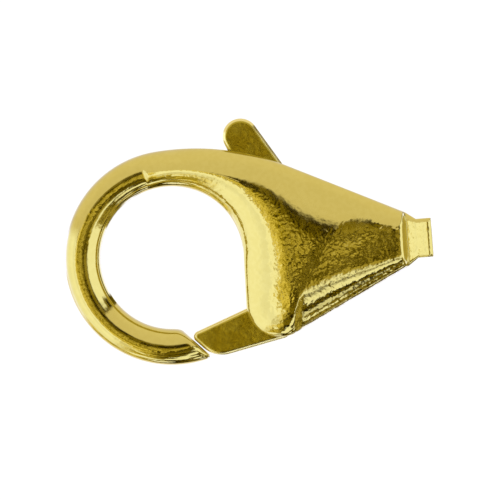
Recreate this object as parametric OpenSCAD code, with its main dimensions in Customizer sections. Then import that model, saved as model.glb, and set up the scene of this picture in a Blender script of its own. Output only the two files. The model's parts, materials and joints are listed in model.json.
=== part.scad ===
// Lobster clasp, lying flat on its back face.
// The eye of the hook is at the left, the tail loop is at the right and the thumb tab points away.

/* [Hook] */
// Radius of the round eye that the hook closes
eye_r = 2.9; // [2.4:0.1:3.6]
// Width of the hook's rod, seen from above
hook_w = 1.45; // [1.2:0.05:1.8]
// Thickness of the hook's rod, top to bottom
hook_t = 1.64; // [1.5:0.02:2]
// Direction of the tip's inner corner, in degrees round the eye
tip_inner_deg = 272; // [268:1:276]
// Direction of the tip's outer corner, in degrees round the eye
tip_outer_deg = 287.5; // [283:0.5:290]
// Rounding of the tip's end face
tip_round = 0.14; // [0.06:0.01:0.2]

/* [Housing] */
// Greatest thickness of the clasp, top to bottom
body_t = 3; // [2.8:0.02:3.3]
// Length of the housing, from the eye to the neck crease
housing_l = 6.65; // [6:0.05:8]
// Slope of the long upper and lower edges, in degrees
taper_deg = 26; // [22:1:29]
// Direction in which the shoulder leaves the round of the hook
shoulder_deg = 95; // [90:1:104]
// Radius of the chin, under the gate's slot
chin_r = 1.37; // [1.1:0.05:1.6]
// How far the foot of the cheek leans into the eye
cheek_lean = 0.05; // [0:0.01:0.1]
// Height of the neck at the crease
neck_h = 2.2; // [1.9:0.05:2.6]
// Thickness of the pinched neck
neck_t = 1.06; // [0.9:0.02:1.3]
// Thickness of the housing's sheet metal
wall = 0.35; // [0.25:0.01:0.42]

/* [Tail loop] */
// Length of the loop, from the neck crease to its end
tail_l = 1.06; // [1:0.02:1.4]
// Height of the loop, along its bore
tail_h = 1.58; // [1.3:0.02:1.9]
// Greatest thickness of the loop
tail_t = 1.6; // [1.4:0.02:1.9]
// Diameter of the loop's bore
tail_bore_d = 0.84; // [0.7:0.02:0.9]
// Metal between the bore and the loop's end
tail_end_wall = 0.2; // [0.15:0.01:0.28]

/* [Lever] */
// Thickness of the lever's plate
lever_t = 1.0; // [0.8:0.02:1.2]
// Free space between the lever and each side of its slots
slot_gap = 0.07; // [0.05:0.01:0.12]
// Free space at the two ends of the tab's slot
slot_end = 0.14; // [0.1:0.02:0.2]
// Diameter of the pivot pin
pin_d = 0.9; // [0.7:0.02:1.1]
// Metal round each of the pin's two sockets
boss_wall = 0.4; // [0.3:0.02:0.5]
// Space all round the pin in the lever's bore
pin_gap = 0.05; // [0.02:0.01:0.09]
// Space all round the pin in its two sockets
seat_gap = 0.01; // [0.005:0.005:0.02]
// How far the pivot lies to the right of the eye's edge
pivot_x_off = 2.25; // [2:0.05:2.5]
// How far the pivot lies below the eye's centre
pivot_drop = 0.93; // [0.7:0.02:1.1]
// Reach of the lever's heel behind the pivot
heel_l = 1.2; // [1.1:0.02:1.3]
// Width of the lever's arm above the pivot
arm_w = 1.9; // [1.75:0.05:2]
// How far the arm's bend lies under the round of the hook
bend_drop = 1.83; // [1.6:0.05:2]
// How far the middle of the thumb tab lies to the left of the pivot
tab_off = 2; // [1.8:0.05:2.2]
// Radius of the thumb tab's round end
tab_r = 0.72; // [0.6:0.02:0.85]
// How far the thumb tab stands above the round of the hook
tab_rise = 1.06; // [0.8:0.02:1.3]
// Gap between the gate's nose and the tip of the hook
nose_gap = 0.05; // [0.03:0.01:0.1]
// Where the gate's upper corner lies along the end face of the tip
nose_top = 0.46; // [0.4:0.02:0.56]
// Rounding of the gate's upper corner
nose_top_r = 0.22; // [0.16:0.02:0.3]
// Where the gate's lower corner lies along the end face of the tip
nose_low = 1.85; // [1.7:0.05:1.95]
// Rounding of the gate's lower corner
nose_low_r = 1.15; // [0.9:0.05:1.25]
// How far the lever opens, in degrees
open_deg = 30; // [20:1:32]
// Thickness of the return spring's strip
spring_strip = 0.12; // [0.08:0.01:0.14]
// Width of the return spring's strip, along the pin
spring_w = 0.8; // [0.6:0.02:0.84]
// Length of the return spring's two legs
spring_l = 2.2; // [1.9:0.05:2.3]
// Space between the spring and what it lies on and presses under
spring_gap = 0.05; // [0.03:0.01:0.08]

/* [Fineness] */
// Facets on each face of the shell, from edge to edge
across = 12; // [8:1:16]
// Short edges on each rounded corner of the lever
corner_steps = 8; // [5:1:12]

/* [Hidden] */
$fn = 64;

function mix(a, b, t) = a + (b - a) * t;
function dir(deg) = [cos(deg), sin(deg)];
function unit(v) = v / norm(v);
function turn(p, deg) = [p[0] * cos(deg) - p[1] * sin(deg), p[0] * sin(deg) + p[1] * cos(deg)];

// Main points, in a plan whose zero is the centre of the eye
hook_r = eye_r + hook_w;
neck_x = eye_r + housing_l;
tail_x = neck_x + tail_l;
waist_x = neck_x + 0.4 * tail_l;
bore_x = tail_x - tail_end_wall - tail_bore_d / 2;
neck_top = [neck_x, neck_h / 2];
neck_foot = [neck_x, -neck_h / 2];
eye_foot = eye_r * dir(tip_inner_deg);
tip_foot = hook_r * dir(tip_outer_deg);

// The shoulder is an arc that leaves the hook smoothly and ends on the straight upper edge
upper_deg = 90 - taper_deg;
shoulder_turn = cos(shoulder_deg - upper_deg);
shoulder_r = (neck_top * dir(upper_deg) - shoulder_turn * hook_r) / (1 - shoulder_turn);
shoulder_c = -(shoulder_r - hook_r) * dir(shoulder_deg);

// The chin is an arc between the cheek and the straight lower edge
lower_deg = 270 + taper_deg;
chin_x = eye_r - cheek_lean + chin_r;
chin_y = (neck_foot * dir(lower_deg) - chin_r - chin_x * dir(lower_deg)[0]) / dir(lower_deg)[1];
chin_c = [chin_x, chin_y];
chin_end = chin_c + chin_r * dir(lower_deg);

// Where the clasp's own zero lies in this plan: the middle of its outline, on the surface under it
middle = [(tail_x - hook_r) / 2, tab_rise / 2];

// A rail is a chain of arcs and lines. Each piece takes one unit of the station s,
// and gives the point there and the way into the metal
function arc_at(c, r, deg, inward) = [c + r * dir(deg), inward * dir(deg)];
function line_at(a, b, t, way) = [mix(a, b, t), way];
function eye_rail(s) =
    s < 1 ? arc_at([0, 0], eye_r, mix(tip_inner_deg, 0, s), 1)
    : s < 2 ? line_at([eye_r, 0], [eye_r - cheek_lean, chin_y], s - 1, [1, 0])
    : s < 3 ? arc_at(chin_c, chin_r, mix(180, lower_deg, s - 2), -1)
    : s < 4 ? line_at(chin_end, neck_foot, s - 3, -dir(lower_deg))
    : s < 5 ? line_at(neck_foot, [waist_x, -tail_h / 2], s - 4, [0, 1])
    : line_at([waist_x, -tail_h / 2], [tail_x, -tail_h / 2], s - 5, [0, 1]);
function outer_rail(s) =
    s < 1 ? arc_at([0, 0], hook_r, mix(tip_outer_deg, shoulder_deg, s), -1)
    : s < 2 ? arc_at(shoulder_c, shoulder_r, mix(shoulder_deg, upper_deg, s - 1), -1)
    : s < 3 ? line_at(shoulder_c + shoulder_r * dir(upper_deg), neck_top, s - 2, -dir(upper_deg))
    : s < 4 ? line_at(neck_top, [waist_x, tail_h / 2], s - 3, [0, -1])
    : line_at([waist_x, tail_h / 2], [tail_x, tail_h / 2], s - 4, [0, -1]);

// A section across the hook, square to its rod
function hook_row(deg, rest) =
    let (inner = tip_inner_deg - deg, outer = tip_outer_deg - deg)
        concat([inner / tip_inner_deg, outer / (tip_outer_deg - shoulder_deg)], rest);

slot_t = lever_t + 2 * slot_gap;
swell = body_t - hook_t;
// Half height of the flat side that a slot runs through, and of the small flat on a round side
slot_side = slot_t / 2 + 0.4 * wall;
thin_side = 0.04;
hook_half = hook_t / 2;

// Sections from the hook's tip to the tail's end.
// Columns: station on the eye's rail, station on the outer rail, bow of the section, half thickness,
// then flat side, rounded share and fullness at the eye's rail, the same three at the outer rail,
// how far both ends are drawn in, and steps to the next row
rows = concat([
    [0.000, 0.000, 0, hook_half * 0.50, thin_side, 0.50, 2.0, thin_side, 0.50, 2.0, tip_round, 1],
    [0.003, 0.002, 0, hook_half * 0.74, thin_side, 0.50, 2.0, thin_side, 0.50, 2.0, tip_round * 0.5, 1],
    [0.010, 0.008, 0, hook_half * 0.92, thin_side, 0.52, 2.1, thin_side, 0.48, 2.1, tip_round * 0.15, 1],
    [0.022, 0.022, 0, hook_half * 0.99, thin_side, 0.55, 2.2, thin_side, 0.45, 2.2, 0, 2]],
    [for (deg = [257, 234, 208])
        hook_row(deg, [0, hook_half, thin_side, 0.62, 2.4, thin_side, 0.37, 2.4, 0, 4])],
    [hook_row(180, [0, hook_half, thin_side, 0.60, 2.4, thin_side, 0.37, 2.4, 0, 4]),
    hook_row(150, [0, hook_half, thin_side, 0.53, 2.4, thin_side, 0.42, 2.4, 0, 4]),
    hook_row(124, [0, hook_half, thin_side, 0.44, 2.4, thin_side, 0.52, 2.4, 0, 3]),
    hook_row(105.5, [0, hook_half, thin_side, 0.38, 2.3, thin_side, 0.55, 2.3, 0, 1])],
    [hook_row(102,
        [0.1, hook_half + swell * 0.04, thin_side * 5, 0.42, 2.1, thin_side * 2, 0.56, 1.9, 0, 2]),
    [0.70, 1.18, 1, hook_half + swell * 0.22, slot_side * 0.36, 0.46, 1.9, slot_side * 0.4, 0.57, 1.6, 0, 3],
    [0.77, 1.42, 1, hook_half + swell * 0.36, slot_side * 0.42, 0.50, 1.9, slot_side * 0.9, 0.55, 1.6, 0, 3],
    [0.85, 1.66, 1, hook_half + swell * 0.44, slot_side * 0.48, 0.53, 1.9, slot_side, 0.50, 1.8, 0, 3],
    [0.93, 1.86, 1, hook_half + swell * 0.475, slot_side * 0.60, 0.52, 1.9, slot_side, 0.46, 2.1, 0, 3],
    [1.00, 2.02, 1, hook_half + swell * 0.488, slot_side * 0.85, 0.53, 1.85, slot_side, 0.44, 2.1, 0, 3],
    [1.44, 2.13, 0.9, body_t * 0.498, slot_side, 0.50, 1.8, slot_side, 0.43, 2.1, 0, 3],
    [2.00, 2.25, 0.7, body_t * 0.500, slot_side, 0.45, 1.8, slot_side, 0.42, 2.1, 0, 3],
    [2.33, 2.35, 0.5, body_t * 0.499, slot_side, 0.40, 1.9, slot_side, 0.42, 2.1, 0, 3],
    [2.66, 2.44, 0.45, body_t * 0.496, slot_side, 0.34, 2.1, slot_side, 0.42, 2.1, 0, 3],
    [2.99, 2.52, 0.55, body_t * 0.489, slot_side, 0.30, 2.2, slot_side, 0.42, 2.1, 0, 1],
    [3.04, 2.54, 0.58, body_t * 0.487, slot_side * 0.35, 0.34, 2.0, slot_side, 0.42, 2.1, 0, 2],
    [3.20, 2.61, 0.7, body_t * 0.470, slot_side * 0.30, 0.34, 2.0, slot_side * 0.97, 0.41, 2.1, 0, 3],
    [3.42, 2.71, 0.85, body_t * 0.439, slot_side * 0.25, 0.34, 2.0, slot_side * 0.88, 0.39, 2.1, 0, 3],
    [3.65, 2.82, 1, body_t * 0.404, slot_side * 0.20, 0.32, 2.1, slot_side * 0.76, 0.37, 2.1, 0, 3],
    [3.86, 2.92, 0.8, body_t * 0.370, slot_side * 0.20, 0.30, 2.2, slot_side * 0.65, 0.36, 2.2, 0, 2],
    [3.96, 2.975, 0.3, body_t * 0.350, slot_side * 0.20, 0.28, 2.3, slot_side * 0.60, 0.35, 2.3, 0, 2],
    [4.00, 3.00, 0, neck_t * 0.63, neck_t * 0.30, 0.20, 2.4, neck_t * 0.30, 0.20, 2.4, 0, 1],
    [4.12, 3.12, 0, neck_t * 0.56, neck_t * 0.34, 0.16, 2.4, neck_t * 0.34, 0.16, 2.4, 0, 2],
    [5.00, 4.00, 0, tail_t * 0.43, tail_t * 0.33, 0.11, 2.5, tail_t * 0.33, 0.11, 2.5, 0, 2],
    [5.62, 4.62, 0, tail_t * 0.495, tail_t * 0.40, 0.10, 2.5, tail_t * 0.40, 0.10, 2.5, 0, 1],
    [5.69, 4.69, 0, tail_t * 0.5, tail_t * 0.40, 0.10, 2.5, tail_t * 0.40, 0.10, 2.5, 0, 1],
    [5.88, 4.88, 0, tail_t * 0.48, tail_t * 0.38, 0.10, 2.5, tail_t * 0.38, 0.10, 2.5, 0, 1],
    [5.96, 4.96, 0, tail_t * 0.43, tail_t * 0.32, 0.10, 2.5, tail_t * 0.32, 0.10, 2.5, 0.02, 1],
    [6.00, 5.00, 0, tail_t * 0.32, tail_t * 0.22, 0.10, 2.5, tail_t * 0.22, 0.10, 2.5, 0.07, 1]]);
steps_col = 11;
hollow_rows = [15, 27];

// Slope at a row, which keeps the curve through the rows free of overshoot
function slope(i, k) =
    i == 0 || i == len(rows) - 1 ? 0
    : let (a = rows[i][k] - rows[i - 1][k], b = rows[i + 1][k] - rows[i][k])
        a * b > 0 ? 2 * a * b / (a + b) : 0;
function between(i, t, k) =
    let (a = rows[i][k], b = rows[i + 1][k], m = slope(i, k), n = slope(i + 1, k))
        a + t * (m + t * (3 * (b - a) - 2 * m - n + t * (2 * (a - b) + m + n)));
function row_at(i, t) = [for (k = [0:steps_col - 1]) between(i, t, k)];
function fine_rows(first, last) = concat(
    [for (i = [first:last - 1]) for (n = [0:rows[i][steps_col] - 1]) row_at(i, n / rows[i][steps_col])],
    [row_at(last - 1, 1)]);

// Point of a section's line in the plan, bowed so that it leaves both rails squarely
function plan_point(row, v, inset) =
    let (a = eye_rail(row[0]), b = outer_rail(row[1]),
        way = unit(b[0] - a[0]),
        p = a[0] + inset * a[1] + row[10] * way, q = b[0] + inset * b[1] - row[10] * way,
        span = q - p,
        out = mix(span, norm(span) * a[1], row[2]),
        back = mix(span, -norm(span) * b[1], row[2]))
        p + v * v * (3 - 2 * v) * span + v * (1 - v) * (1 - v) * out - v * v * (1 - v) * back;
function edge_height(v, share, full) = pow(1 - pow(1 - min(v / share, 1), full), 1 / full);
function surface_height(row, v) =
    let (t = max(0, min(1, 2 * v - 0.5)), side = mix(row[4], row[7], t * t * (3 - 2 * t)))
        side + (row[3] - side) * edge_height(v, row[5], row[6]) * edge_height(1 - v, row[8], row[9]);

// One closed ring of points round a section. The cavity's rings are set in by the wall
function section_ring(row, inset, n) =
    let (length = norm(outer_rail(row[1])[0] - eye_rail(row[0])[0]),
        top = [for (j = [0:n])
            let (v = (1 - cos(180 * j / n)) / 2, p = plan_point(row, v, inset))
            [p[0], p[1], surface_height(row, (inset + v * (length - 2 * inset)) / length) - inset]])
    concat(top, [for (j = [n:-1:0]) [top[j][0], top[j][1], -top[j][2]]]);

// Closed skin over rings that each run along the top and back along the underside
module skin(rings) {
    n = len(rings[0]);
    last = len(rings) - 1;
    polyhedron(
        points = [for (r = rings) each r],
        faces = concat(
            [for (i = [0:last - 1]) for (j = [0:n - 1])
                let (a = i * n + j, b = i * n + (j + 1) % n)
                each [[a, b, a + n], [b, b + n, a + n]]],
            [for (j = [0:n / 2 - 2]) [n - 1 - j, n - 2 - j, j + 1, j]],
            [for (j = [0:n / 2 - 2]) last * n * [1, 1, 1, 1] + [j, j + 1, n - 2 - j, n - 1 - j]]),
        convexity = 6);
}

// Outline through corners that are each rounded to their own radius, in edges that are not too short
corner_edge = 0.06;
function rounded_corner(a, p, b, r, n) =
    let (u = unit(a - p), w = unit(b - p), half = acos(u * w) / 2,
        c = p + unit(u + w) * r / sin(half),
        s = p + u * r / tan(half) - c, e = p + w * r / tan(half) - c,
        from = atan2(s[1], s[0]), sweep = atan2(s[0] * e[1] - s[1] * e[0], s * e),
        steps = max(1, min(n, floor(abs(sweep) * r * PI / 180 / corner_edge))))
        [for (i = [0:steps]) c + r * dir(from + sweep * i / steps)];
function rounded(corners) =
    let (n = len(corners))
        [for (i = [0:n - 1])
            let (a = corners[(i + n - 1) % n], p = corners[i], b = corners[(i + 1) % n])
            each rounded_corner(a[0], p[0], b[0], p[1], corner_steps)];
// Where one rounding ends close to the next one, only one of the two points is kept
function spaced(points) =
    let (n = len(points))
        [for (i = [0:n - 1]) if (norm(points[i] - points[(i + n - 1) % n]) > corner_edge / 2) points[i]];

// Lever, as corners and radii. It starts at the nose, beside the hook's tip, and goes on under the chin
pivot = [eye_r + pivot_x_off, -pivot_drop];
tab_c = [pivot[0] - tab_off, hook_r + tab_rise - tab_r];
tip_way = unit(tip_foot - eye_foot);
nose_line = eye_foot + nose_gap * [-tip_way[1], tip_way[0]];
gate_top = chin_c + chin_r * [-0.365, 0.146];
gate_foot = chin_c + chin_r * [0.2, -1.015];

// Corners of the heel as shares of its reach, and of the arm as shares of its width
heel_front = pivot + heel_l * [0.46, -0.71];
heel_back = pivot + heel_l * [1, -0.46];
heel_top = pivot + heel_l * [1, -0.02];
arm_right = pivot + arm_w * [0.45, 0.26];
arm_left = pivot + arm_w * [-0.54, 0.105];
bend_right = [pivot[0] + arm_w * 0.09, hook_r - bend_drop];
bend_left = [pivot[0] - arm_w * 0.895, hook_r - bend_drop - arm_w * 0.26];

// Directions, from the middle of the tab, in which its straight sides touch its round end
function touch_deg(bend, side) =
    let (to = bend - tab_c) atan2(to[1], to[0]) + side * acos(tab_r / norm(to));
tab_right_deg = touch_deg(bend_right, 1);
tab_left_deg = touch_deg(bend_left, -1) + 360;
tab_turn = (tab_left_deg - tab_right_deg) / 4;
lever_corners = [
    [nose_line + nose_top * tip_way, nose_top_r],
    [nose_line + nose_low * tip_way, nose_low_r],
    [gate_foot, chin_r * 0.40],
    [heel_front, heel_l * 0.21],
    [heel_back, heel_l * 0.17],
    [heel_top, heel_l * 0.17],
    [arm_right, arm_w * 0.21],
    [bend_right, arm_w * 0.63],
    [tab_c + tab_r / cos(tab_turn) * dir(tab_right_deg + tab_turn), tab_r],
    [tab_c + tab_r / cos(tab_turn) * dir(tab_left_deg - tab_turn), tab_r],
    [bend_left, arm_w * 0.79],
    [arm_left, arm_w * 0.32],
    [gate_top, chin_r * 0.29]];

// The pin runs in a boss on each wall, into a blind socket
boss_r = pin_d / 2 + boss_wall;
pin_half = body_t / 2 - 0.7 * wall;

// Slot for the gate, round cheek and chin as far as the crease
module gate_slot() {
    inner_x = eye_r + 2 * wall;
    top_y = pivot[1] - 0.1;
    crease = chin_end - [wall * 0.15, 0];
    linear_extrude(height = slot_t, center = true)
        polygon([
            [eye_r - chin_r * 0.5, top_y], [inner_x, top_y],
            chin_end + wall * [1.4, 2.65], crease, crease - [0, chin_r * 0.45],
            [eye_r - chin_r * 0.5, chin_end[1] - chin_r * 0.45]]);
}

// Slot for the tab, wide enough for it at rest and wide open
module tab_slot() {
    left = tab_c + (tab_r + slot_end) * dir(tab_left_deg);
    right = pivot + turn(bend_right - pivot, -open_deg) + [slot_end, 0];
    linear_extrude(height = slot_t, center = true)
        polygon([
            left + [-slot_end / 2, slot_end * 3], bend_left - [slot_end, 0], pivot + arm_w * [-0.68, 0.84],
            pivot + arm_w * [0.84, 0.79], right - [0, tab_r * 1.25], right + [0, tab_r * 1.67]]);
}

module body() {
    color("#c9b24a")
    translate([-middle[0], -middle[1], body_t / 2])
    difference() {
        union() {
            difference() {
                skin([for (r = fine_rows(0, len(rows) - 1)) section_ring(r, 0, across)]);
                skin([for (r = fine_rows(hollow_rows[0], hollow_rows[1])) section_ring(r, wall, across - 4)]);
                gate_slot();
                tab_slot();
                translate([bore_x, 0, 0]) rotate([90, 0, 0])
                    cylinder(d = tail_bore_d, h = 2 * neck_h, center = true);
            }
            for (side = [0, 1]) mirror([0, 0, side])
                translate([pivot[0], pivot[1], slot_t / 2])
                    cylinder(r = boss_r, h = pin_half - slot_t / 2);
        }
        translate([pivot[0], pivot[1], 0])
            cylinder(d = pin_d + 2 * seat_gap, h = 2 * pin_half, center = true);
    }
}

module lever() {
    color("#a89428")
    translate([-middle[0], -middle[1], body_t / 2])
    difference() {
        linear_extrude(height = lever_t, center = true) polygon(spaced(rounded(lever_corners)));
        translate([pivot[0], pivot[1], 0])
            cylinder(d = pin_d + 2 * pin_gap, h = 2 * lever_t, center = true);
    }
}

module pivot_pin() {
    color("#b8b8b8")
    translate([pivot[0] - middle[0], pivot[1] - middle[1], body_t / 2])
        cylinder(d = pin_d, h = 2 * (pin_half - seat_gap), center = true);
}

// Hairpin strip: one leg lies along the lower wall, the other presses up under the lever's heel
module return_spring() {
    low = wall + 2 * spring_gap + spring_strip / 2;
    high = (chin_end - heel_front) * dir(lower_deg) - spring_gap - spring_strip / 2;
    leg_from = (heel_front - chin_end) * dir(taper_deg) + heel_l * 0.1;
    bend_r = (high - low) / 2;
    bend_c = chin_end + (leg_from + spring_l) * dir(taper_deg) - (low + high) / 2 * dir(lower_deg);
    color("#d0d0d0")
    translate([bend_c[0] - middle[0], bend_c[1] - middle[1], body_t / 2])
    rotate([0, 0, 180 + taper_deg])
    linear_extrude(height = spring_w, center = true)
        difference() {
            union() {
                circle(r = bend_r + spring_strip / 2);
                translate([0, -bend_r - spring_strip / 2]) square([spring_l, 2 * bend_r + spring_strip]);
            }
            circle(r = bend_r - spring_strip / 2);
            translate([0, -bend_r + spring_strip / 2])
                square([spring_l + spring_strip, 2 * bend_r - spring_strip]);
        }
}

body();
lever();
pivot_pin();
return_spring();
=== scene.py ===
import json
import math

import bpy
import numpy as np
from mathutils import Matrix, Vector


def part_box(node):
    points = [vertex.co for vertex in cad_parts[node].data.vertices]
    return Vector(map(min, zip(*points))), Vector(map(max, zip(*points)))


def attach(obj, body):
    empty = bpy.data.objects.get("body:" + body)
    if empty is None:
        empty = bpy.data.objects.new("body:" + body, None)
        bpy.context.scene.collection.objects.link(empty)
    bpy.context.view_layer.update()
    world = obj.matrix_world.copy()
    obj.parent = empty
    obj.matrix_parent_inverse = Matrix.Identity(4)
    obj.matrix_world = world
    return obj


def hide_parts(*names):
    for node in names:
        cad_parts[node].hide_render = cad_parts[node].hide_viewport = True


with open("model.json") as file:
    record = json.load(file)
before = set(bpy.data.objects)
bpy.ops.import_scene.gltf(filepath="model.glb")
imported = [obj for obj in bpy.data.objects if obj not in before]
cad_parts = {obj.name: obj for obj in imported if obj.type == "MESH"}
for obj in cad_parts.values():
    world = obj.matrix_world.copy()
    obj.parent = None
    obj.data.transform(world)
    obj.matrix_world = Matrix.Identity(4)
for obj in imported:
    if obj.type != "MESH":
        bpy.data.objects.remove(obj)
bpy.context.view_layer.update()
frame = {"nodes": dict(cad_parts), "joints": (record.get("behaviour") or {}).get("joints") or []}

mm = 0.001
bodyLow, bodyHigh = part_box("body")
hinge = frame["joints"][0]

# Driving sizes of the clasp in mm and degrees, in a plan whose zero is the centre of the eye
plan = {
    "eyeRadius": 2.9, "rodWidth": 1.45, "rodThick": 1.64,
    "tipInner": 272, "tipOuter": 287.5, "tipRound": 0.14,
    "bodyThick": 3.0, "housing": 6.65, "taper": 26, "shoulder": 95,
    "chinRadius": 1.37, "cheekLean": 0.05, "neckHeight": 2.2, "neckThick": 1.06, "wall": 0.35,
    "tailLength": 1.06, "tailHeight": 1.58, "tailThick": 1.6, "tailBore": 0.84, "tailEndWall": 0.2,
    "waist": 0.4,             # share of the tail's length over which its height falls
    "leverThick": 1.0, "slotGap": 0.07, "slotEnd": 0.14, "pin": 0.9, "seatGap": 0.01, "pinGap": 0.05,
    "bossWall": 0.4, "pivotRight": 2.25, "pivotDrop": 0.93, "openAngle": 30,
}


def way(degrees):  # unit vector of a direction in the plan
    a = np.radians(degrees)
    return np.stack([np.cos(a), np.sin(a)], -1)


def mix(a, b, t):
    return a + (b - a) * t


def unit(v):
    return v / np.linalg.norm(v)


eyeR = plan["eyeRadius"]
hookR = eyeR + plan["rodWidth"]
neckX = eyeR + plan["housing"]
tailX = neckX + plan["tailLength"]
waistX = neckX + plan["waist"] * plan["tailLength"]
tailHalf = plan["tailHeight"] / 2
neckTop = np.array([neckX, plan["neckHeight"] / 2])
neckFoot = np.array([neckX, -plan["neckHeight"] / 2])

# The shoulder arc leaves the hook smoothly and meets the straight upper edge, the chin arc the lower edge
upperWay = 90 - plan["taper"]
lowerWay = 270 + plan["taper"]
shoulderTurn = math.cos(math.radians(plan["shoulder"] - upperWay))
shoulderR = (neckTop @ way(upperWay) - shoulderTurn * hookR) / (1 - shoulderTurn)
shoulderC = -(shoulderR - hookR) * way(plan["shoulder"])
chinR = plan["chinRadius"]
chinX = eyeR - plan["cheekLean"] + chinR
chinY = (neckFoot @ way(lowerWay) - chinR - chinX * way(lowerWay)[0]) / way(lowerWay)[1]
chinC = np.array([chinX, chinY])
chinEnd = chinC + chinR * way(lowerWay)

pivot = np.array([eyeR + plan["pivotRight"], -plan["pivotDrop"]])
middle = pivot - np.array(hinge["pos_m"][:2]) / mm  # the frame's zero, as seen in the plan
midHeight = (bodyLow.z + bodyHigh.z) / 2


def toFrame(points):  # plan points in mm with a height over the middle plane, to metres in the frame
    p = np.asarray(points, float)
    return np.concatenate([(p[..., :2] - middle) * mm, midHeight + p[..., 2:] * mm], -1)


# A rail is a chain of arcs and lines, one unit of station for each. It gives points, and the ways inwards
def arcPiece(centre, radius, fromDeg, toDeg, inward):
    def at(t):
        spoke = way(mix(fromDeg, toDeg, t))
        return np.asarray(centre) + radius * spoke, inward * spoke
    return at


def linePiece(a, b, inward):
    a, b, inward = (np.asarray(v, float) for v in (a, b, inward))
    return lambda t: (a + (b - a) * t[:, None], np.broadcast_to(inward, (len(t), 2)))


waistFoot, waistTop = [waistX, -tailHalf], [waistX, tailHalf]
eyeRail = [
    arcPiece([0, 0], eyeR, plan["tipInner"], 0, 1),
    linePiece([eyeR, 0], [eyeR - plan["cheekLean"], chinY], [1, 0]),
    arcPiece(chinC, chinR, 180, lowerWay, -1),
    linePiece(chinEnd, neckFoot, -way(lowerWay)),
    linePiece(neckFoot, waistFoot, [0, 1]),
    linePiece(waistFoot, [tailX, -tailHalf], [0, 1]),
]
outerRail = [
    arcPiece([0, 0], hookR, plan["tipOuter"], plan["shoulder"], -1),
    arcPiece(shoulderC, shoulderR, plan["shoulder"], upperWay, -1),
    linePiece(shoulderC + shoulderR * way(upperWay), neckTop, -way(upperWay)),
    linePiece(neckTop, waistTop, [0, -1]),
    linePiece(waistTop, [tailX, tailHalf], [0, -1]),
]


def onRail(rail, station):
    station = np.asarray(station, float)
    piece = np.clip(np.floor(station).astype(int), 0, len(rail) - 1)
    point, inward = np.zeros(station.shape + (2,)), np.zeros(station.shape + (2,))
    for i, part in enumerate(rail):
        here = piece == i
        if here.any():
            point[here], inward[here] = part(station[here] - i)
    return point, inward


def hookRow(degrees, rest):
    inner = (plan["tipInner"] - degrees) / plan["tipInner"]
    outer = (plan["tipOuter"] - degrees) / (plan["tipOuter"] - plan["shoulder"])
    return [inner, outer] + rest


slotThick = plan["leverThick"] + 2 * plan["slotGap"]
rod = plan["rodThick"] / 2
swell = plan["bodyThick"] - plan["rodThick"]  # how much thicker the housing is than the hook
sideWall = 0.4  # share of the wall by which a flat side stands past the slots
slotSide = slotThick / 2 + sideWall * plan["wall"]
thin = 0.04  # half the flat side of the hook's edges
bulk, neck, tail = plan["bodyThick"], plan["neckThick"], plan["tailThick"]
tipRound = plan["tipRound"]

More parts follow.
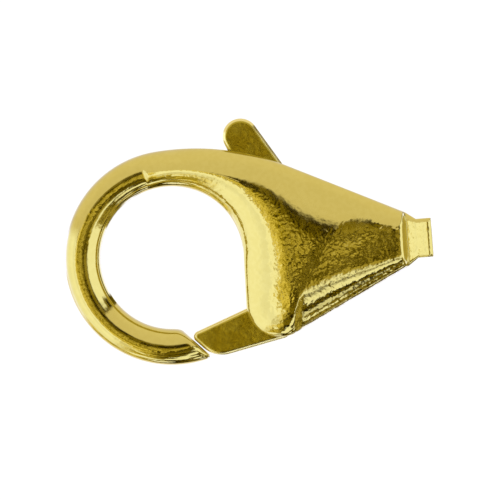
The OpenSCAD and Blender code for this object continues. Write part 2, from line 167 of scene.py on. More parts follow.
# Sections from the hook's tip to the tail's end. Columns: station on the eye's rail and on the outer rail,
# bow, half thickness, then half of the flat side, rounded share and fullness at the eye's rail, the same at
# the outer rail, draw-in
sections = np.array([
    [0.000, 0.000, 0, rod * 0.50, thin, 0.50, 2.0, thin, 0.50, 2.0, tipRound],
    [0.003, 0.002, 0, rod * 0.74, thin, 0.50, 2.0, thin, 0.50, 2.0, tipRound * 0.5],
    [0.010, 0.008, 0, rod * 0.92, thin, 0.52, 2.1, thin, 0.48, 2.1, tipRound * 0.15],
    [0.022, 0.022, 0, rod * 0.99, thin, 0.55, 2.2, thin, 0.45, 2.2, 0],
    *[hookRow(d, [0, rod, thin, 0.62, 2.4, thin, 0.37, 2.4, 0]) for d in (257, 234, 208)],
    hookRow(180, [0, rod, thin, 0.60, 2.4, thin, 0.37, 2.4, 0]),
    hookRow(150, [0, rod, thin, 0.53, 2.4, thin, 0.42, 2.4, 0]),
    hookRow(124, [0, rod, thin, 0.44, 2.4, thin, 0.52, 2.4, 0]),
    hookRow(105.5, [0, rod, thin, 0.38, 2.3, thin, 0.55, 2.3, 0]),
    hookRow(102, [0.1, rod + swell * 0.04, thin * 5, 0.42, 2.1, thin * 2, 0.56, 1.9, 0]),
    [0.70, 1.18, 1, rod + swell * 0.22, slotSide * 0.36, 0.46, 1.9, slotSide * 0.4, 0.57, 1.6, 0],
    [0.77, 1.42, 1, rod + swell * 0.36, slotSide * 0.42, 0.50, 1.9, slotSide * 0.9, 0.55, 1.6, 0],
    [0.85, 1.66, 1, rod + swell * 0.44, slotSide * 0.48, 0.53, 1.9, slotSide, 0.50, 1.8, 0],
    [0.93, 1.86, 1, rod + swell * 0.475, slotSide * 0.60, 0.52, 1.9, slotSide, 0.46, 2.1, 0],
    [1.00, 2.02, 1, rod + swell * 0.488, slotSide * 0.85, 0.53, 1.85, slotSide, 0.44, 2.1, 0],
    [1.44, 2.13, 0.9, bulk * 0.498, slotSide, 0.50, 1.8, slotSide, 0.43, 2.1, 0],
    [2.00, 2.25, 0.7, bulk * 0.500, slotSide, 0.45, 1.8, slotSide, 0.42, 2.1, 0],
    [2.33, 2.35, 0.5, bulk * 0.499, slotSide, 0.40, 1.9, slotSide, 0.42, 2.1, 0],
    [2.66, 2.44, 0.45, bulk * 0.496, slotSide, 0.34, 2.1, slotSide, 0.42, 2.1, 0],
    [2.99, 2.52, 0.55, bulk * 0.489, slotSide, 0.30, 2.2, slotSide, 0.42, 2.1, 0],
    [3.04, 2.54, 0.58, bulk * 0.487, slotSide * 0.35, 0.34, 2.0, slotSide, 0.42, 2.1, 0],
    [3.20, 2.61, 0.7, bulk * 0.470, slotSide * 0.30, 0.34, 2.0, slotSide * 0.97, 0.41, 2.1, 0],
    [3.42, 2.71, 0.85, bulk * 0.439, slotSide * 0.25, 0.34, 2.0, slotSide * 0.88, 0.39, 2.1, 0],
    [3.65, 2.82, 1, bulk * 0.404, slotSide * 0.20, 0.32, 2.1, slotSide * 0.76, 0.37, 2.1, 0],
    [3.86, 2.92, 0.8, bulk * 0.370, slotSide * 0.20, 0.30, 2.2, slotSide * 0.65, 0.36, 2.2, 0],
    [3.96, 2.975, 0.3, bulk * 0.350, slotSide * 0.20, 0.28, 2.3, slotSide * 0.60, 0.35, 2.3, 0],
    [4.00, 3.00, 0, neck * 0.63, neck * 0.30, 0.20, 2.4, neck * 0.30, 0.20, 2.4, 0],
    [4.12, 3.12, 0, neck * 0.56, neck * 0.34, 0.16, 2.4, neck * 0.34, 0.16, 2.4, 0],
    [5.00, 4.00, 0, tail * 0.43, tail * 0.33, 0.11, 2.5, tail * 0.33, 0.11, 2.5, 0],
    [5.62, 4.62, 0, tail * 0.495, tail * 0.40, 0.10, 2.5, tail * 0.40, 0.10, 2.5, 0],
    [5.69, 4.69, 0, tail * 0.5, tail * 0.40, 0.10, 2.5, tail * 0.40, 0.10, 2.5, 0],
    [5.88, 4.88, 0, tail * 0.48, tail * 0.38, 0.10, 2.5, tail * 0.38, 0.10, 2.5, 0],
    [5.96, 4.96, 0, tail * 0.43, tail * 0.32, 0.10, 2.5, tail * 0.32, 0.10, 2.5, 0.02],
    [6.00, 5.00, 0, tail * 0.32, tail * 0.22, 0.10, 2.5, tail * 0.22, 0.10, 2.5, 0.07],
])
bodyShape = {
    "rowSteps": 9,            # fine rows for each row of the table
    "across": 72,             # points from edge to edge on each face
    "hollowFrom": 15, "hollowTo": 27,  # rows of the table between which the housing is hollow
    "hollowSteps": 4, "hollowAcross": 24,
    "socketDepth": 0.7,       # share of the wall between the outside and the end of the pin's sockets
    "smoothFrom": 11.6, "smoothTo": 26,  # rows between which the forms are blended further
    "blend": 7,               # fine rows on each side that a value is blended over
}


def fineRows(first, last, steps):
    # Cubic between rows, whose slope at a row is the harmonic mean of both sides, so nothing overshoots
    jump = np.diff(sections, axis=0)
    a, b = jump[:-1], jump[1:]
    slope = np.where(a * b > 0, 2 * a * b / np.where(a + b == 0, 1, a + b), 0)
    slope = np.vstack([0 * a[:1], slope, 0 * a[:1]])
    at = np.append(np.arange(first * steps, last * steps), last * steps - 1e-9) / steps
    i = np.floor(at).astype(int)
    t = (at - i)[:, None]
    a, b, m, n = sections[i], sections[i + 1], slope[i], slope[i + 1]
    return at, a + t * (m + t * (3 * (b - a) - 2 * m - n + t * (2 * (a - b) + m + n)))


def blendRows(at, rows):
    # Each value becomes a raised-cosine average of its neighbours along the clasp, faded in and out
    reach = bodyShape["blend"]
    weight = 1 + np.cos(np.pi * np.arange(-reach, reach + 1) / (reach + 1))
    weight /= weight.sum()
    padded = np.pad(rows, ((reach, reach), (0, 0)), mode="edge")
    soft = np.stack([np.convolve(padded[:, k], weight, mode="valid") for k in range(rows.shape[1])], 1)
    share = np.clip(np.minimum(at - bodyShape["smoothFrom"], bodyShape["smoothTo"] - at), 0, 1)[:, None]
    share = share * share * (3 - 2 * share)
    return mix(rows, soft, share)


def planPoints(rows, v, inset):
    # Cubic line from rail to rail, bowed so that it leaves both rails squarely
    a, wayA = onRail(eyeRail, rows[:, 0])
    b, wayB = onRail(outerRail, rows[:, 1])
    line = (b - a) / np.linalg.norm(b - a, axis=1)[:, None]
    drawn = rows[:, 10:11]
    p, q = a + inset * wayA + drawn * line, b + inset * wayB - drawn * line
    span = q - p
    length = np.linalg.norm(span, axis=1)[:, None]
    bow = rows[:, 2:3]
    out, back = mix(span, length * wayA, bow), mix(span, -length * wayB, bow)
    v = v[None, :, None]
    points = p[:, None] + v * v * (3 - 2 * v) * span[:, None]
    return points + v * (1 - v) ** 2 * out[:, None] - v * v * (1 - v) * back[:, None]


def edgeHeight(v, share, full):  # quarter of a fuller or leaner ellipse, from 0 at the edge to 1 at the share
    return (1 - (1 - np.minimum(v / share, 1)) ** full) ** (1 / full)


def surfaceHeight(rows, v):
    across = np.clip(2 * v - 0.5, 0, 1)
    side = mix(rows[:, 4:5], rows[:, 7:8], across * across * (3 - 2 * across))
    rounded = edgeHeight(v, rows[:, 5:6], rows[:, 6:7]) * edgeHeight(1 - v, rows[:, 8:9], rows[:, 9:10])
    return side + (rows[:, 3:4] - side) * rounded


def sectionRings(rows, inset, across):
    # Points along the top and back along the underside, closer together near the edges
    v = (1 - np.cos(np.pi * np.arange(across + 1) / across)) / 2
    span = onRail(outerRail, rows[:, 1])[0] - onRail(eyeRail, rows[:, 0])[0]
    length = np.linalg.norm(span, axis=1)[:, None]
    height = surfaceHeight(rows, (inset + v[None, :] * (length - 2 * inset)) / length) - inset
    top = np.dstack([planPoints(rows, v, inset), height])
    under = top[:, ::-1] * np.array([1, 1, -1])
    return np.concatenate([top, under], axis=1)


def makeObject(name, points, faces, smooth=True):
    mesh = bpy.data.meshes.new(name)
    mesh.from_pydata(points.reshape(-1, 3).tolist(), [], faces)
    mesh.polygons.foreach_set("use_smooth", [smooth] * len(mesh.polygons))
    mesh.update()
    made = bpy.data.objects.new(name, mesh)
    bpy.context.scene.collection.objects.link(made)
    return made


def ringCorners(rings, around):  # each point of all rings but the last, and its neighbour on the same ring
    i, j = np.meshgrid(np.arange(rings - 1), np.arange(around), indexing="ij")
    return i * around + j, i * around + (j + 1) % around


def tubeFaces(rings, around):
    # Quads between rings of equal length, and each end closed by strips across it
    a, b = ringCorners(rings, around)
    quads = np.stack([a, a + around, b + around, b], -1).reshape(-1, 4)
    k = np.arange(around // 2 - 1)
    cap = np.stack([k, k + 1, around - 2 - k, around - 1 - k], -1)
    return quads.tolist() + cap.tolist() + (cap[:, ::-1] + (rings - 1) * around).tolist()


def skin(name, rings):
    return makeObject(name, toFrame(rings), tubeFaces(rings.shape[0], rings.shape[1]))


def straight(name, ends):
    # Straight piece between two equal outlines
    n = len(ends[0])
    walls = [[k, (k + 1) % n, n + (k + 1) % n, n + k] for k in range(n)]
    return makeObject(name, toFrame(ends), walls + [list(range(n))[::-1], list(range(n, 2 * n))], False)


def prism(name, outline, low, high):
    # Flat outline raised between two heights over the middle plane
    outline = np.asarray(outline, float)
    return straight(name, [np.c_[outline, np.full(len(outline), height)] for height in (low, high)])


roundSteps = 96  # sides of the round cutters
circle = way(np.arange(roundSteps) * 360 / roundSteps)


def disc(centre, radius):
    return np.asarray(centre) + radius * circle


def cylinderAlongY(name, centreX, radius, half):
    x, z = centreX + radius * circle[:, 0], -radius * circle[:, 1]
    return straight(name, [np.c_[x, np.full(roundSteps, y), z] for y in (half, -half)])


sharpDegrees = 32  # edges that turn by more than this stay sharp


def carve(target, steps):
    # Applies a list of (operation, cutter) and marks the edges that the cuts leave sharp
    for operation, cutter in steps:
        change = target.modifiers.new(cutter.name, "BOOLEAN")
        change.operation = operation
        change.solver = "MANIFOLD"
        change.object = cutter
    graph = bpy.context.evaluated_depsgraph_get()
    made = bpy.data.meshes.new_from_object(target.evaluated_get(graph))
    target.modifiers.clear()
    old = target.data
    target.data = made
    bpy.data.meshes.remove(old)
    made.name = target.name
    for _, cutter in steps:
        bpy.data.objects.remove(cutter)
    made.polygons.foreach_set("use_smooth", [True] * len(made.polygons))
    made.set_sharp_from_angle(angle=math.radians(sharpDegrees))
    return target


leverShape = {
    "heel": 1.2, "arm": 1.9, "bendDrop": 1.83, "tabLeft": 2.0, "tabRadius": 0.72, "tabRise": 1.06,
    "noseGap": 0.05, "noseTop": 0.46, "noseTopRound": 0.22, "noseLow": 1.85, "noseLowRound": 1.15,
    "bendRight": 0.09, "bendLeft": (0.895, 0.26),  # places of the arm's bends, as shares of its length
    "rim": 0.15,          # rounding of the plate's edge
    "rimSteps": 10,
    "faceInset": 0.012,   # a narrow ring round each face, which keeps the shading of the face flat
    "arcStep": 0.03,      # length of the edges on the outline's arcs
}
tabC = np.array([pivot[0] - leverShape["tabLeft"], hookR + leverShape["tabRise"] - leverShape["tabRadius"]])
arm, heel = leverShape["arm"], leverShape["heel"]
bendRight = np.array([pivot[0] + arm * leverShape["bendRight"], hookR - leverShape["bendDrop"]])
bendAway, bendLower = leverShape["bendLeft"]
bendLeft = np.array([pivot[0] - arm * bendAway, hookR - leverShape["bendDrop"] - arm * bendLower])


def touchDeg(bend, side):
    # Direction from the tab's middle to where a line from the bend touches its round end
    to = bend - tabC
    spread = math.acos(leverShape["tabRadius"] / np.linalg.norm(to))
    return math.degrees(math.atan2(to[1], to[0]) + side * spread)


tabRight = touchDeg(bendRight, 1)
tabLeft = touchDeg(bendLeft, -1) + 360


def leverCorners():
    # Corners of the outline with their radii, from the nose along the lower edge and back over the tab
    eyeFoot = eyeR * way(plan["tipInner"])
    tipWay = unit(hookR * way(plan["tipOuter"]) - eyeFoot)
    nose = eyeFoot + leverShape["noseGap"] * np.array([-tipWay[1], tipWay[0]])
    turn = (tabLeft - tabRight) / 4
    reach = leverShape["tabRadius"] / math.cos(math.radians(turn))
    return [
        (nose + leverShape["noseTop"] * tipWay, leverShape["noseTopRound"]),
        (nose + leverShape["noseLow"] * tipWay, leverShape["noseLowRound"]),
        (chinC + chinR * np.array([0.2, -1.015]), chinR * 0.40),
        (pivot + heel * np.array([0.46, -0.71]), heel * 0.21),
        (pivot + heel * np.array([1, -0.46]), heel * 0.17),
        (pivot + heel * np.array([1, -0.02]), heel * 0.17),
        (pivot + arm * np.array([0.45, 0.26]), arm * 0.21),
        (bendRight, arm * 0.63),
        (tabC + reach * way(tabRight + turn), leverShape["tabRadius"]),
        (tabC + reach * way(tabLeft - turn), leverShape["tabRadius"]),
        (bendLeft, arm * 0.79),
        (pivot + arm * np.array([-0.54, 0.105]), arm * 0.32),
        (chinC + chinR * np.array([-0.365, 0.146]), chinR * 0.29),
    ]


def roundedOutline(corners, inset):
    # Arc at each corner, tangent to both sides. An inset keeps each arc's centre and changes its radius
    arcs = []
    for k, (p, r) in enumerate(corners):
        u, w = unit(corners[k - 1][0] - p), unit(corners[(k + 1) % len(corners)][0] - p)
        half = math.acos(np.clip(u @ w, -1, 1)) / 2
        centre = p + unit(u + w) * r / math.sin(half)
        start, end = p + u * r / math.tan(half) - centre, p + w * r / math.tan(half) - centre
        fromDeg = math.degrees(math.atan2(start[1], start[0]))
        sweep = math.degrees(math.atan2(start[0] * end[1] - start[1] * end[0], start @ end))
        steps = max(2, round(abs(math.radians(sweep)) * r / leverShape["arcStep"]))
        radius = r - inset * np.sign(sweep)
        arcs.append(centre + radius * way(fromDeg + sweep * np.arange(steps + 1) / steps))
    return np.concatenate(arcs)


def makeLever():
    # Plate whose edge is rounded: the outline moves in by a quarter circle as the height rises to the face
    corners = leverCorners()
    half, rim = plan["leverThick"] / 2, leverShape["rim"]
    angle = np.radians(np.linspace(0, 90, leverShape["rimSteps"] + 1))
    insets = np.append(rim * (1 - np.cos(angle)), rim + leverShape["faceInset"])
    heights = np.append(half - rim * (1 - np.sin(angle)), half)
    outlines = [roundedOutline(corners, inset) for inset in insets]
    up = np.array([np.c_[outline, np.full(len(outline), z)] for outline, z in zip(outlines, heights)])
    rings = np.concatenate([up[::-1] * np.array([1, 1, -1]), up])
    count, around = rings.shape[:2]
    a, b = ringCorners(count, around)
    faces = np.stack([a, b, b + around, a + around], -1).reshape(-1, 4).tolist()
    faces += [list(range(around))[::-1], list(range((count - 1) * around, count * around))]
    lever = makeObject("gate_lever", toFrame(rings), faces)
    bore = prism("lever_bore", disc(pivot, plan["pin"] / 2 + plan["pinGap"]), -2 * half, 2 * half)
    return carve(lever, [("DIFFERENCE", bore)])


def turned(p, degrees):
    a = math.radians(degrees)
    return np.array([p[0] * math.cos(a) - p[1] * math.sin(a), p[0] * math.sin(a) + p[1] * math.cos(a)])


gateSlot = {
    "topDrop": 0.1,           # mm below the pivot
    "left": 0.5, "foot": 0.45,  # shares of the chin's radius
    "crease": 0.15, "right": 2, "corner": (1.4, 2.65),  # shares of the wall
}
tabSlot = {
    "leftTop": (-0.5, 3),     # shares of the gap at the slot's end
    "leftFoot": (-0.68, 0.84), "rightFoot": (0.84, 0.79),  # shares of the arm
    "rightLow": 1.25, "rightHigh": 1.67,  # shares of the tab's radius
}


def gateSlotOutline():
    wall = plan["wall"]
    topY = pivot[1] - gateSlot["topDrop"]
    crease = chinEnd - np.array([wall * gateSlot["crease"], 0])
    left = eyeR - chinR * gateSlot["left"]
    foot = chinR * gateSlot["foot"]
    return [[left, topY], [eyeR + gateSlot["right"] * wall, topY],
            chinEnd + wall * np.array(gateSlot["corner"]),
            crease, crease - np.array([0, foot]), [left, chinEnd[1] - foot]]


def tabSlotOutline():
    gap, radius = plan["slotEnd"], leverShape["tabRadius"]
    left = tabC + (radius + gap) * way(tabLeft)
    right = pivot + turned(bendRight - pivot, -plan["openAngle"]) + np.array([gap, 0])
    return [left + gap * np.array(tabSlot["leftTop"]), bendLeft - np.array([gap, 0]),
            pivot + arm * np.array(tabSlot["leftFoot"]), pivot + arm * np.array(tabSlot["rightFoot"]),
            right - np.array([0, radius * tabSlot["rightLow"]]),
            right + np.array([0, radius * tabSlot["rightHigh"]])]


def anticlockwise(outline):
    o = np.asarray(outline, float)
    turn = o[:, 0] * np.roll(o[:, 1], -1) - o[:, 1] * np.roll(o[:, 0], -1)
    return o if turn.sum() > 0 else o[::-1]


def makeBody():
    at, rows = fineRows(0, len(sections) - 1, bodyShape["rowSteps"])
    body = skin("clasp_body", sectionRings(blendRows(at, rows), 0, bodyShape["across"]))
    _, rows = fineRows(bodyShape["hollowFrom"], bodyShape["hollowTo"], bodyShape["hollowSteps"])
    cavity = skin("cavity", sectionRings(rows, plan["wall"], bodyShape["hollowAcross"]))
    slotHalf = slotThick / 2
    gate = prism("gate_slot", anticlockwise(gateSlotOutline()), -slotHalf, slotHalf)
    tab = prism("tab_slot", anticlockwise(tabSlotOutline()), -slotHalf, slotHalf)
    boreX = tailX - plan["tailEndWall"] - plan["tailBore"] / 2
    bore = cylinderAlongY("tail_bore", boreX, plan["tailBore"] / 2, 2 * plan["neckHeight"])
    pinHalf = plan["bodyThick"] / 2 - bodyShape["socketDepth"] * plan["wall"]
    bossR = plan["pin"] / 2 + plan["bossWall"]
    steps = [("DIFFERENCE", cutter) for cutter in (cavity, gate, tab, bore)]
    for side, (low, high) in (("front", (slotHalf, pinHalf)), ("back", (-pinHalf, -slotHalf))):
        steps.append(("UNION", prism("boss_" + side, disc(pivot, bossR), low, high)))
    socket = prism("socket", disc(pivot, plan["pin"] / 2 + plan["seatGap"]), -pinHalf, pinHalf)
    return carve(body, steps + [("DIFFERENCE", socket)])


print("building the body")
body = makeBody()
print("building the lever")
lever = makeLever()
print("body polygons", len(body.data.polygons), "lever polygons", len(lever.data.polygons))


# Shader values as Python expressions
class Term:
    def __init__(self, tree, socket):
        self.tree = tree
        self.socket = socket

    def node(self, kind, settings=None, inputs=None, output=0):
        made = self.tree.nodes.new(kind)
        for key, value in (settings or {}).items():
            setattr(made, key, value)
        for key, value in (inputs or {}).items():
            if isinstance(value, Term):
                self.tree.links.new(value.socket, made.inputs[key])
            else:
                made.inputs[key].default_value = value
        return Term(self.tree, made.outputs[output])

    def maths(self, operation, *values):
        return self.node("ShaderNodeMath", {"operation": operation}, dict(enumerate(values)))

    def __add__(self, other):
        return self.maths("ADD", self, other)

    def __radd__(self, other):
        return self.maths("ADD", other, self)

    def __sub__(self, other):
        return self.maths("SUBTRACT", self, other)

    def __rsub__(self, other):
        return self.maths("SUBTRACT", other, self)

    def __mul__(self, other):
        return self.maths("MULTIPLY", self, other)

    def size(self):  # without its sign
        return self.maths("ABSOLUTE", self)

    def ramp(self, low, high):  # smooth rise from 0 at low to 1 at high, or a fall where low is above high
        return self.node("ShaderNodeMapRange", {"interpolation_type": "SMOOTHSTEP"},
                         {0: self, 1: low, 2: high, 3: 0.0, 4: 1.0})

    def noise(self, scale, detail=2.0, rough=0.5, stretch=None):  # self is a vector
        where = self
        if stretch:
            where = self.node("ShaderNodeMapping", None, {"Vector": self, "Scale": stretch})
        return self.node("ShaderNodeTexNoise", None,
                         {"Vector": where, "Scale": scale, "Detail": detail, "Roughness": rough})

    def other(self, key):  # another output of the same node
        return Term(self.tree, self.socket.node.outputs[key])

    def blend(self, first, second):  # colour between two colours, by this value
        return self.node("ShaderNodeMix", {"data_type": "RGBA"}, {0: self, 6: first, 7: second}, 2)

    def drive(self, shader, key):
        self.tree.links.new(self.socket, shader.inputs[key])


def rgb(r, g, b):
    return (r, g, b, 1.0)


def newMaterial(name, settings):
    # Gives the material, its shader with uniform settings, and a Term to start from
    material = bpy.data.materials.new(name)
    material.use_nodes = True
    shader = material.node_tree.nodes["Principled BSDF"]
    for key, value in settings.items():
        shader.inputs[key].default_value = value
    return material, shader, Term(material.node_tree, None)


goldFinish = {
    "bright": rgb(0.625, 0.505, 0.107), "deep": rgb(0.605, 0.485, 0.098),
    "mottle": (0.40, 0.62), "peelShare": 0.6,  # noise from deep to bright, and the peel's share in it
    "rough": 0.06, "roughSpread": 0.05, "roughRange": (0.35, 0.7),
    "peel": 0.18 * mm,        # size of the peel's dimples
    "peelDepth": 0.0108 * mm, "peelFine": 0.4,
    "grain": 0.07 * mm, "grainDepth": 0.0012 * mm,
    "wave": 0.7 * mm, "waveDepth": 0.008 * mm,
    "calm": (-2.6 * mm, -0.7 * mm), "calmShare": 0.4,  # the peel is weaker on the hook's side of this
    "farSide": (0.0, 0.08), "farShare": 0.25,  # it is weaker too where a normal leans to the tab's side
}
leverFinish = dict(goldFinish, rough=0.17, roughSpread=0.08, peel=0.22 * mm, peelDepth=0.010 * mm,
                   bright=rgb(0.49, 0.375, 0.03), deep=rgb(0.42, 0.31, 0.02),
                   rimHighlight=rgb(0.77, 0.64, 0.19), rimHighlightEnd=(0.90, 0.98))  # painted highlight on the lever's rounded rim, by the height of the normal


def goldMaterial(name, finish):
    # Noise at three sizes makes the dimples, and the middle and the wide one tint the gold a little
    material, shader, start = newMaterial(name, {"Metallic": 1.0})
    place = start.node("ShaderNodeTexCoord", output=3)
    along = start.node("ShaderNodeSeparateXYZ", None, {0: place})
    normal = start.node("ShaderNodeSeparateXYZ", None, {0: start.node("ShaderNodeTexCoord", output=1)})
    wide = place.noise(1 / finish["wave"], 1.0)
    peel = place.noise(1 / finish["peel"], 1.0, finish["peelFine"])
    grain = place.noise(1 / finish["grain"], 1.0)
    tint = (peel * finish["peelShare"] + wide * (1 - finish["peelShare"])).ramp(*finish["mottle"])
    colour = tint.blend(finish["deep"], finish["bright"])
    # Painted highlight: where the normal leans away from straight up, on the rounded rim, the gold gets a
    # lighter colour
    if "rimHighlight" in finish:
        colour = normal.other(2).size().ramp(*finish["rimHighlightEnd"]).blend(finish["rimHighlight"], colour)
    colour.drive(shader, "Base Color")
    (finish["rough"] + wide.ramp(*finish["roughRange"]) * finish["roughSpread"]).drive(shader, "Roughness")
    strength = finish["calmShare"] + along.ramp(*finish["calm"]) * (1 - finish["calmShare"])
    strength = strength * (1 - normal.other(1).ramp(*finish["farSide"]) * (1 - finish["farShare"]))
    height = (peel * finish["peelDepth"] + grain * finish["grainDepth"]) * strength
    height = height + wide * finish["waveDepth"]
    bump = start.node("ShaderNodeBump", None, {"Height": height, "Distance": 1.0, "Strength": 1.0})
    bump.drive(shader, "Normal")
    return material


steelFinish = {
    "dark": rgb(0.36, 0.36, 0.35), "light": rgb(0.5, 0.5, 0.49),
    "line": 0.05 * mm, "stretch": (1.0, 1.0, 0.1),  # width of the drawing lines, which run along Z
    "rough": 0.22, "roughSpread": 0.2,
}


def steelMaterial(finish):
    material, shader, start = newMaterial("spring_steel", {"Metallic": 1.0})
    place = start.node("ShaderNodeTexCoord", output=3)
    lines = place.noise(1 / finish["line"], 2.0, 0.5, finish["stretch"])
    lines.blend(finish["dark"], finish["light"]).drive(shader, "Base Color")
    (finish["rough"] + lines * finish["roughSpread"]).drive(shader, "Roughness")
    return material


def dress(piece, material):
    piece.data.materials.clear()
    piece.data.materials.append(material)


dress(body, goldMaterial("polished_gold", goldFinish))
dress(lever, goldMaterial("lever_gold", leverFinish))
steel = steelMaterial(steelFinish)
for nodeName in ("pivot_pin", "return_spring"):
    dress(frame["nodes"][nodeName], steel)

cameraSetup = {
    "roll": 4.5,              # turn of the picture against the frame, in degrees
    "lens": 1000.0, "sensor": 36.0,
    "pictureWide": 20.3 * mm,  # width that the picture covers at the clasp's middle plane
    "pictureMiddle": (0.045 * mm, -0.472 * mm),
    "clipNear": 0.05, "clipFar": 10,  # shares of the distance
}

# Light that the metal mirrors, by tilt and bearing. Tilts are those of the metal against the view from
# above, bearings count anticlockwise in the picture from its right side, and colours are linear. Each pair
# of degrees is a ramp from nothing to all, and left, up and right are bearings against that side
studio = {
    "lamp": rgb(1.42, 1.56, 2.75), "wall": rgb(1.02, 0.98, 1.13), "low": rgb(1.15, 1.08, 0.95),
    "rim": rgb(0.70, 0.60, 0.20), "rimTilt": (80, 89),  # what the steepest edges mirror
    "bounce": rgb(1.1, 1.2, 2.0), "bounceShare": 0.8, "bounceDepth": 2.5,  # gold mirrored by way of gold
    "white": rgb(1.0, 1.0, 1.0),
}
leftBox = {
    "left": ((-25, -11), (70, 52)),
    "tilt": (9.5, 12), "fray": 14.0, "frayDepth": 14,  # its upper edge is frayed by noise, in degrees
    "steep": (52, 62), "steepLeft": (30, 42),  # past both it is dark
    "tone": 0.93, "changes": ((18, 28, 0.11), (34, 46, -0.05), (17, 15, 0.12)),  # over tilts, by how much
}
farWall = {
    "up": ((-51, -49), (85, 70)), "tilt": (6.0, 8.4),
    "tone": 0.98, "changes": ((18, 40, 0.06), (55, 75, -0.10)),
}
rightBox = {
    "right": (-63, -58), "end": 31, "endMore": 5, "endTilt": (28, 22), "endSoft": (2, -2),
    "inner": (-27, -23),      # right of this the box is wide, left of it a narrow strip and a second strip
    "wide": ((12, 14.5), (57, 53)), "wideSteep": (61, 65),
    "narrow": ((10.5, 14), (19, 16)), "narrowSteep": (78, 84),
    "second": ((36.5, 38), (44, 42)), "secondRight": (-50, -55), "secondShare": 0.75,
    "crumb": 9.0, "crumbRange": (0.45, 0.51), "crumbRight": (-36, -54), "crumbShare": 0.96,  # dark spots
}
lowWall = {"bearing": -117, "reach": (58, 50), "tilt": (69, 76)}
ceiling = {
    "gold": (rgb(0.48, 0.395, 0.03), rgb(1.18, 1.06, 0.52)),   # left side, in its dark and pale spots
    "dark": (rgb(0.025, 0.017, 0.001), rgb(0.28, 0.226, 0.02)),  # the same of its right side
    "speck": 9.0, "speckRange": (0.43, 0.58),
    "goldBearing": 204, "goldReach": (65, 48), "topShare": 0.75, "topEnd": (0.6, 2.4),
    "lowSide": (40, 50), "lowSideShare": 0.22,
    "bands": (  # parts of the dark side that are golden to a share, which is less past the turn
        {"right": ((-34, -24), (29, 20)), "tilt": (8, 10),
         "share": 0.6, "less": 0.35, "turn": (-19, -10)},
        {"right": ((-48, -38), (24, 12)), "tilt": (1.5, 3.5),
         "share": 0.36, "less": 0.20, "turn": (-20, -12)},
    ),
    "glint": 3.5, "glintRange": (0.53, 0.59),
    "glintBearing": -83, "glintReach": (40, 29), "glintTilt": (16, 24),
}


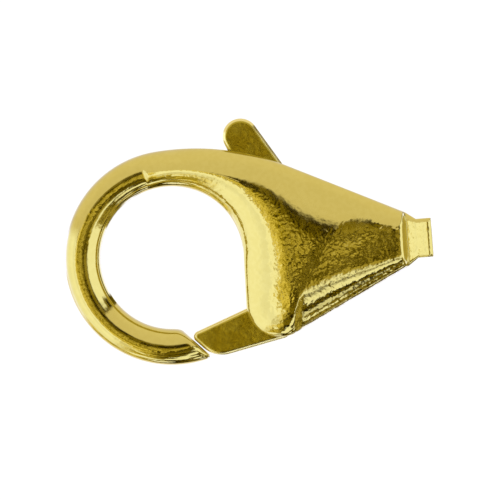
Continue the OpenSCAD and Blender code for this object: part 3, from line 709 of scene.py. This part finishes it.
def makeStudio():
    # Soft boxes at the left and right, a pale wall at the far side and a dark, mottled ceiling
    world = bpy.data.worlds.new("studio")
    bpy.context.scene.world = world
    world.use_nodes = True
    world.cycles.sampling_method = "NONE"
    tree = world.node_tree
    tree.nodes.clear()
    start = Term(tree, None)
    look = start.node("ShaderNodeTexCoord")
    parts = start.node("ShaderNodeSeparateXYZ", None, {0: look})
    x, y, z = (parts.other(k) for k in range(3))
    tilt = start.maths("ARCCOSINE", z) * (90 / math.pi)  # half the mirrored light's angle to straight up
    bearing = start.maths("ARCTAN2", y, x) * (180 / math.pi) + cameraSetup["roll"]

    def fromBearing(centre):  # signed degrees from a direction
        return start.maths("WRAP", bearing - centre, 180.0, -180.0)

    def between(value, ramps):  # product of a rise and a fall
        rise, fall = ramps
        return value.ramp(*rise) * value.ramp(*fall)

    def toned(light, colour):  # the light's colour, with its changes over the tilt
        tone = light["tone"]
        for low, high, change in light["changes"]:
            tone = tone + tilt.ramp(low, high) * change
        return start.node("ShaderNodeVectorMath", {"operation": "SCALE"}, {0: colour[:3], 3: tone})

    left, up, right = fromBearing(180), fromBearing(90), fromBearing(0)
    leftSide = between(left, leftBox["left"])
    frayed = tilt + (look.noise(leftBox["fray"], 1.0, 0.5) - 0.5) * leftBox["frayDepth"]
    steep = tilt.ramp(*leftBox["steep"]) * left.ramp(*leftBox["steepLeft"])
    leftLamp = leftSide * frayed.ramp(*leftBox["tilt"]) * (1 - steep)
    farShare = between(up, farWall["up"]) * (1 - leftSide) * tilt.ramp(*farWall["tilt"])

    rightEnd = rightBox["end"] + tilt.ramp(*rightBox["endTilt"]) * rightBox["endMore"]
    rightSide = right.ramp(*rightBox["right"]) * (right - rightEnd).ramp(*rightBox["endSoft"])
    rightSide = rightSide * (1 - leftSide) * (1 - up.ramp(*farWall["up"][0]))
    wide = between(tilt, rightBox["wide"]) + tilt.ramp(*rightBox["wideSteep"])
    crumbs = look.noise(rightBox["crumb"], 1.0, 0.5).ramp(*rightBox["crumbRange"])
    crumbs = crumbs * right.ramp(*rightBox["crumbRight"]) * rightBox["crumbShare"]
    narrow = between(tilt, rightBox["narrow"]) * (1 - crumbs) + tilt.ramp(*rightBox["narrowSteep"])
    second = between(tilt, rightBox["second"]) * right.ramp(*rightBox["secondRight"])
    narrow = narrow + second * rightBox["secondShare"]
    inner = right.ramp(*rightBox["inner"])
    rightLamp = rightSide * (inner * wide + (1 - inner) * narrow)
    lowShare = fromBearing(lowWall["bearing"]).size().ramp(*lowWall["reach"]) * tilt.ramp(*lowWall["tilt"])

    # Ceiling: golden towards the left and at the top, dark elsewhere, with a few glints low at the near side
    goldSide = fromBearing(ceiling["goldBearing"]).size().ramp(*ceiling["goldReach"])
    goldShare = ceiling["topShare"] + tilt.ramp(*ceiling["topEnd"]) * (goldSide - ceiling["topShare"])
    lowSide = rightSide * (1 - inner) * tilt.ramp(*ceiling["lowSide"]) * ceiling["lowSideShare"]
    goldShare = start.maths("MAXIMUM", goldShare, lowSide)
    for band in ceiling["bands"]:
        share = band["share"] - right.ramp(*band["turn"]) * band["less"]
        share = between(right, band["right"]) * tilt.ramp(*band["tilt"]) * share
        goldShare = start.maths("MAXIMUM", goldShare, share)
    speck = look.noise(ceiling["speck"], 2.0, 0.6).ramp(*ceiling["speckRange"])
    colour = goldShare.blend(speck.blend(*ceiling["dark"]), speck.blend(*ceiling["gold"]))
    nearSide = fromBearing(ceiling["glintBearing"]).size().ramp(*ceiling["glintReach"])
    spots = look.noise(ceiling["glint"], 0.0).ramp(*ceiling["glintRange"])
    glint = nearSide * tilt.ramp(*ceiling["glintTilt"]) * spots

    colour = glint.blend(colour, studio["lamp"])
    colour = leftLamp.blend(colour, toned(leftBox, studio["lamp"]))
    colour = farShare.blend(colour, toned(farWall, studio["wall"]))
    colour = rightLamp.blend(colour, studio["lamp"])
    colour = lowShare.blend(colour, studio["low"])
    colour = tilt.ramp(*studio["rimTilt"]).blend(colour, studio["rim"])

    path = start.node("ShaderNodeLightPath")
    outputs = ("Is Camera Ray", "Is Diffuse Ray", "Ray Depth")
    cameraRay, diffuseRay, depth = (path.other(key) for key in outputs)
    bounced = start.maths("GREATER_THAN", depth, studio["bounceDepth"])
    colour = (bounced * studio["bounceShare"]).blend(colour, studio["bounce"])
    final = start.maths("MAXIMUM", cameraRay, diffuseRay).blend(colour, studio["white"])
    background = start.node("ShaderNodeBackground", None, {"Color": final, "Strength": 1.0})
    background.drive(tree.nodes.new("ShaderNodeOutputWorld"), "Surface")


floorSetup = {
    "half": 300 * mm, "drop": 0.01 * mm,  # half its side, and how far it lies below the clasp
    "finish": {
        "Base Color": rgb(0.1, 0.1, 0.1), "Roughness": 1.0, "Specular IOR Level": 0.0,
        "Emission Color": rgb(1, 1, 1), "Emission Strength": 0.97,
    },
}


def makeFloor():
    corners = np.array([[-1, -1, 0], [1, -1, 0], [1, 1, 0], [-1, 1, 0]]) * floorSetup["half"]
    corners[:, 2] = bodyLow.z - floorSetup["drop"]
    floor = makeObject("floor", corners, [[0, 1, 2, 3]], False)
    dress(floor, newMaterial("white_table", floorSetup["finish"])[0])
    floor.visible_glossy = False


def makeCamera():
    data = bpy.data.cameras.new("camera")
    data.lens = cameraSetup["lens"]
    data.sensor_width = cameraSetup["sensor"]
    distance = cameraSetup["pictureWide"] * data.lens / data.sensor_width
    data.clip_start, data.clip_end = distance * cameraSetup["clipNear"], distance * cameraSetup["clipFar"]
    camera = bpy.data.objects.new("camera", data)
    x, y = cameraSetup["pictureMiddle"]
    camera.location = (x, y, midHeight + distance)
    camera.rotation_euler = (0, 0, math.radians(-cameraSetup["roll"]))
    bpy.context.scene.collection.objects.link(camera)
    bpy.context.scene.camera = camera


print("setting the studio")
makeStudio()
makeFloor()
makeCamera()
bpy.context.scene.view_settings.view_transform = "Standard"

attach(body, "body")
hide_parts("body")
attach(lever, "lever")
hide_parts("lever")
